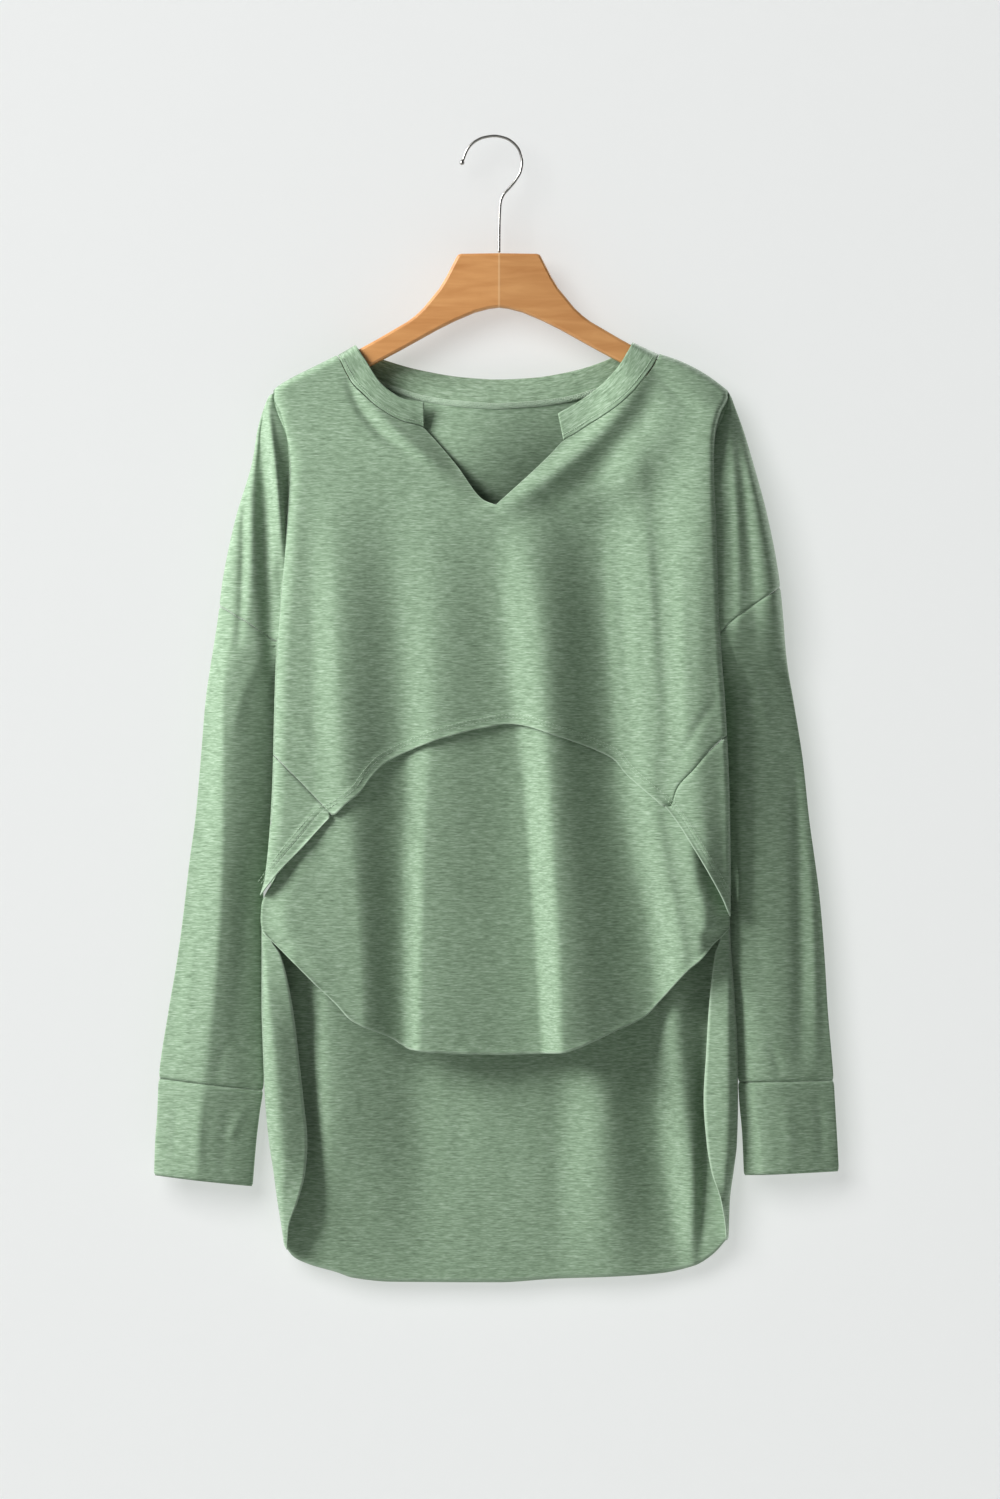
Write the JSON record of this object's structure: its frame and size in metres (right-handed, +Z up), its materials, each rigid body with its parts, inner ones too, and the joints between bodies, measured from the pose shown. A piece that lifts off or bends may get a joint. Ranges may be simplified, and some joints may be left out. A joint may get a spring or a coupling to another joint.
{
  "type": "long-sleeve top on a hanger",
  "caption": "Long-sleeve jersey top with a slit neck, arched front hem and long tail, hanging flat on a wooden hanger with a wire hook.",
  "frame": {"origin": "inner crown of the hook, where a rail holds it", "axes": "+Z up along the hook's stem, +Y towards the garment's back, +X to the right seen from the front"},
  "size_m": [0.5915, 0.0476, 0.9903],
  "materials": {
    "jersey": "matt heather sage jersey",
    "wood": "satin lacquer",
    "steel": "bright nickel"
  },
  "bodies": {
    "root": {"hanger_yoke": "wood", "hanger_hook": "steel", "front_bodice": "jersey", "back_panel": "jersey", "front_lower_panel": "jersey", "neckband": "jersey", "side_piece_left": "jersey", "side_piece_right": "jersey", "sleeve_left": "jersey", "sleeve_right": "jersey", "cuff_left": "jersey", "cuff_right": "jersey"}
  },
  "joints": []
}
